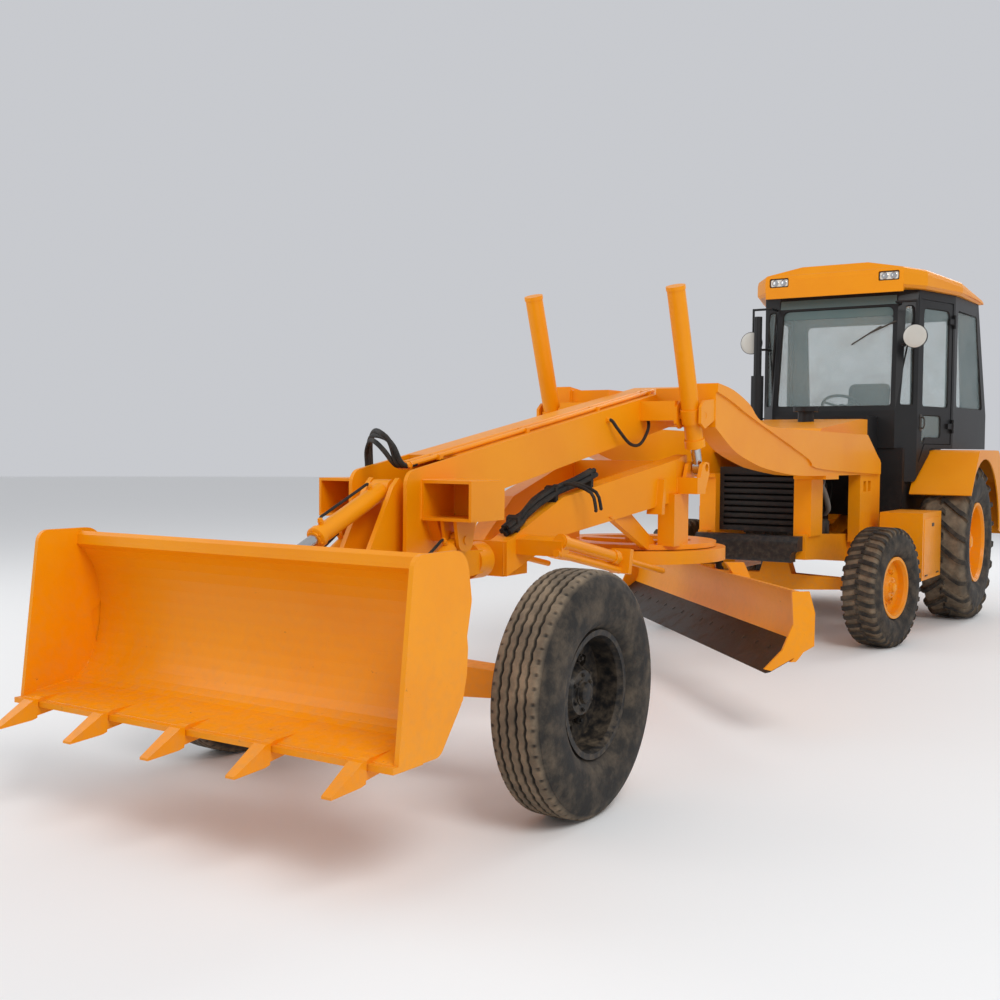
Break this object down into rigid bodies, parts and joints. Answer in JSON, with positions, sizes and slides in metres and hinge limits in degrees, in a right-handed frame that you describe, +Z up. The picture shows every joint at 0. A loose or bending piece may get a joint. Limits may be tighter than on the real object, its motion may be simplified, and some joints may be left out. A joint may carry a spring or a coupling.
{
  "type": "motor grader",
  "caption": "Motor grader: arched main beam with turntable blade, toothed loader bucket ahead of the front axle, and a six-wheeled tractor rear with bonnet and cab",
  "frame": {"origin": "Ground level under the middle of the machine's length and width, the width taken from the fenders to the blade's leading end; the machine's centre plane is 0.1 m to its right", "axes": "+X to the machine's left, -Y to its front where the bucket is, +Z up"},
  "size_m": [2.6976, 10.3799, 3.3375],
  "materials": {
    "orange_paint": "satin",
    "black_paint": "satin",
    "tyre": "matte",
    "hose_rubber": "satin",
    "window_glass": "clear",
    "engine_iron": "matte",
    "seat_cloth": "woven",
    "lamp_plastic": "gloss",
    "edge_steel": "worn",
    "rod_chrome": "polished"
  },
  "bodies": {
    "frame": {"main_beam": "orange_paint", "beam_head": "orange_paint", "beam_pipes": "orange_paint", "front_axle": "orange_paint", "gooseneck": "orange_paint", "chassis": "orange_paint", "counterweight": "black_paint", "grille": "black_paint", "engine": "engine_iron", "mid_axle": "orange_paint", "rear_axle": "orange_paint", "side_boxes": "orange_paint", "cab_frame": "black_paint", "cab_roof": "orange_paint", "cab_glass": "window_glass", "console": "black_paint", "seat": "seat_cloth", "fenders": "orange_paint", "rear_frame": "orange_paint", "mirrors": "black_paint", "roof_lamps": "lamp_plastic", "exhaust": "black_paint"},
    "front_knuckle_left": {"front_knuckle_l": "orange_paint"},
    "front_wheel_left": {"front_rim_l": "black_paint", "front_tyre_l": "tyre"},
    "mid_knuckle_left": {"mid_knuckle_l": "orange_paint"},
    "mid_wheel_left": {"mid_rim_l": "orange_paint", "mid_tyre_l": "tyre"},
    "rear_wheel_left": {"rear_rim_l": "orange_paint", "rear_tyre_l": "tyre"},
    "door_left": {"door_l": "black_paint", "door_glass_l": "window_glass"},
    "front_knuckle_right": {"front_knuckle_r": "orange_paint"},
    "front_wheel_right": {"front_rim_r": "black_paint", "front_tyre_r": "tyre"},
    "mid_knuckle_right": {"mid_knuckle_r": "orange_paint"},
    "mid_wheel_right": {"mid_rim_r": "orange_paint", "mid_tyre_r": "tyre"},
    "rear_wheel_right": {"rear_rim_r": "orange_paint", "rear_tyre_r": "tyre"},
    "door_right": {"door_r": "black_paint", "door_glass_r": "window_glass"},
    "drawbar": {"drawbar": "orange_paint", "drawbar_hoses": "hose_rubber"},
    "circle": {"circle": "orange_paint", "moldboard": "orange_paint", "cutting_edge": "edge_steel"},
    "lift_barrels": {"lift_barrels": "orange_paint"},
    "lift_rods": {"lift_rods": "rod_chrome"},
    "loader_arms": {"loader_arms": "orange_paint"},
    "loader_barrels": {"loader_barrels": "orange_paint"},
    "loader_rods": {"loader_rods": "rod_chrome"},
    "bucket": {"bucket": "orange_paint"},
    "tilt_barrel": {"tilt_barrel": "orange_paint"},
    "tilt_rod": {"tilt_rod": "rod_chrome"},
    "bonnet": {"bonnet": "orange_paint", "precleaner": "black_paint"}
  },
  "joints": [
    {"name": "front_steer_left", "type": "hinge", "parent": "frame", "child": "front_knuckle_left", "pos_m": [0.60118, -3.71, 0.5275], "axis": [0, 0, 1], "range_deg": [-30, 30]},
    {"name": "front_wheel_spin_left", "type": "hinge", "parent": "front_knuckle_left", "child": "front_wheel_left", "pos_m": [0.90018, -3.71, 0.5275], "axis": [1, 0, 0], "continuous": true},
    {"name": "mid_steer_left", "type": "hinge", "parent": "frame", "child": "mid_knuckle_left", "pos_m": [0.52118, 1.645, 0.4825], "axis": [0, 0, 1], "range_deg": [-21, 39]},
    {"name": "mid_wheel_spin_left", "type": "hinge", "parent": "mid_knuckle_left", "child": "mid_wheel_left", "pos_m": [0.78637, 1.603, 0.4825], "axis": [0.9877, -0.1564, 0], "continuous": true},
    {"name": "rear_wheel_spin_left", "type": "hinge", "parent": "frame", "child": "rear_wheel_left", "pos_m": [0.90618, 3.82, 0.725], "axis": [1, 0, 0], "continuous": true},
    {"name": "front_steer_right", "type": "hinge", "parent": "frame", "child": "front_knuckle_right", "pos_m": [-0.79882, -3.71, 0.5275], "axis": [0, 0, 1], "range_deg": [-30, 30]},
    {"name": "front_wheel_spin_right", "type": "hinge", "parent": "front_knuckle_right", "child": "front_wheel_right", "pos_m": [-1.09782, -3.71, 0.5275], "axis": [1, 0, 0], "continuous": true},
    {"name": "mid_steer_right", "type": "hinge", "parent": "frame", "child": "mid_knuckle_right", "pos_m": [-0.71882, 1.645, 0.4825], "axis": [0, 0, 1], "range_deg": [-21, 39]},
    {"name": "mid_wheel_spin_right", "type": "hinge", "parent": "mid_knuckle_right", "child": "mid_wheel_right", "pos_m": [-0.98401, 1.687, 0.4825], "axis": [0.9877, -0.1564, 0], "continuous": true},
    {"name": "rear_wheel_spin_right", "type": "hinge", "parent": "frame", "child": "rear_wheel_right", "pos_m": [-1.10382, 3.82, 0.725], "axis": [1, 0, 0], "continuous": true},
    {"name": "drawbar_pitch", "type": "hinge", "parent": "frame", "child": "drawbar", "pos_m": [-0.09882, -2.99, 0.985], "axis": [1, 0, 0], "range_deg": [-7, 2.5]},
    {"name": "blade_turn", "type": "hinge", "parent": "drawbar", "child": "circle", "pos_m": [-0.09882, -1.11, 0.9], "axis": [0, 0, 1], "range_deg": [-40, 100]},
    {"name": "blade_lift_swing", "type": "hinge", "parent": "frame", "child": "lift_barrels", "pos_m": [-0.09882, -1.36, 1.78], "axis": [1, 0, 0], "range_deg": [-2.94, 1.06]},
    {"name": "blade_lift_slide", "type": "slide", "parent": "lift_barrels", "child": "lift_rods", "axis": [0, 0.3277, -0.9448], "range_m": [-0.0825, 0.2293]},
    {"name": "bucket_lift", "type": "hinge", "parent": "frame", "child": "loader_arms", "pos_m": [-0.09882, -3.69, 0.93], "axis": [-1, 0, 0], "range_deg": [-12, 35]},
    {"name": "bucket_lift_swing", "type": "hinge", "parent": "frame", "child": "loader_barrels", "pos_m": [-0.09882, -3.61, 1.14], "axis": [1, 0, 0], "range_deg": [-27.08, 9.3]},
    {"name": "bucket_lift_slide", "type": "slide", "parent": "loader_barrels", "child": "loader_rods", "axis": [0, -0.8632, -0.5049], "range_m": [-0.1065, 0.0372]},
    {"name": "bucket_tilt", "type": "hinge", "parent": "loader_arms", "child": "bucket", "pos_m": [-0.09882, -4.51, 0.62], "axis": [1, 0, 0], "range_deg": [-20, 35]},
    {"name": "bucket_tilt_swing", "type": "hinge", "parent": "loader_arms", "child": "tilt_barrel", "pos_m": [-0.09882, -3.77, 1.375], "axis": [1, 0, 0], "range_deg": [-7.7, 4.41]},
    {"name": "bucket_tilt_slide", "type": "slide", "parent": "tilt_barrel", "child": "tilt_rod", "axis": [0, -0.9177, -0.3972], "range_m": [-0.1566, 0.2733]},
    {"name": "bonnet_lid", "type": "hinge", "parent": "frame", "child": "bonnet", "pos_m": [-0.09882, 2.68, 1.836], "axis": [-1, 0, 0], "range_deg": [0, 50]},
    {"name": "door_left", "type": "hinge", "parent": "frame", "child": "door_left", "pos_m": [0.83578, 3.85722, 2.35], "axis": [0, 0, 1], "range_deg": [0, 70]},
    {"name": "door_right", "type": "hinge", "parent": "frame", "child": "door_right", "pos_m": [-1.03342, 3.85722, 2.35], "axis": [0, 0, -1], "range_deg": [0, 70]}
  ],
  "couplings": [
    {"joint": "front_steer_right", "follows": "front_steer_left", "ratio": 1},
    {"joint": "mid_steer_right", "follows": "mid_steer_left", "ratio": 1},
    {"joint": "blade_lift_swing", "follows": "drawbar_pitch", "ratio": 0.4016},
    {"joint": "blade_lift_slide", "follows": "drawbar_pitch", "m_per_rad": -1.7964},
    {"joint": "bucket_lift_swing", "follows": "bucket_lift", "ratio": -0.7435},
    {"joint": "bucket_lift_slide", "follows": "bucket_lift", "m_per_rad": -0.166},
    {"joint": "bucket_tilt_swing", "follows": "bucket_tilt", "ratio": -0.211},
    {"joint": "bucket_tilt_slide", "follows": "bucket_tilt", "m_per_rad": 0.4286}
  ]
}
